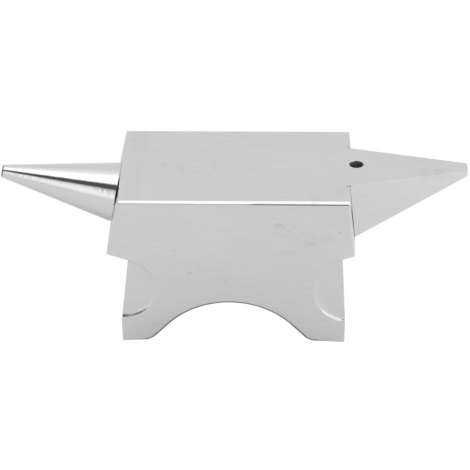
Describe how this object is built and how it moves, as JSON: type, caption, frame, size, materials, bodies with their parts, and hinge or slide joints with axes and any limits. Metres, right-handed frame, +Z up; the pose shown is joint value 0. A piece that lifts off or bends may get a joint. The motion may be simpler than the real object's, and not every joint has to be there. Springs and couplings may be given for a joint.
{
  "type": "jewellers bench anvil",
  "caption": "Small steel bench anvil with a flat working face, a polished round horn, a tapered flat horn with a pritchel hole, an arched base and scooped corners.",
  "frame": {"origin": "on the ground between the feet, half-way between the tips of the two horns and in the middle of the depth", "axes": "+X towards the tip of the flat horn, +Y towards the back, +Z up out of the working face"},
  "size_m": [0.1202, 0.036, 0.0425],
  "materials": {
    "satin_steel": "satin, finely brushed",
    "polished_steel": "polished to a mirror",
    "stud_steel": "black oxide"
  },
  "bodies": {
    "root": {"body": "satin_steel", "horn": "polished_steel", "horn_stud": "stud_steel"}
  },
  "joints": []
}
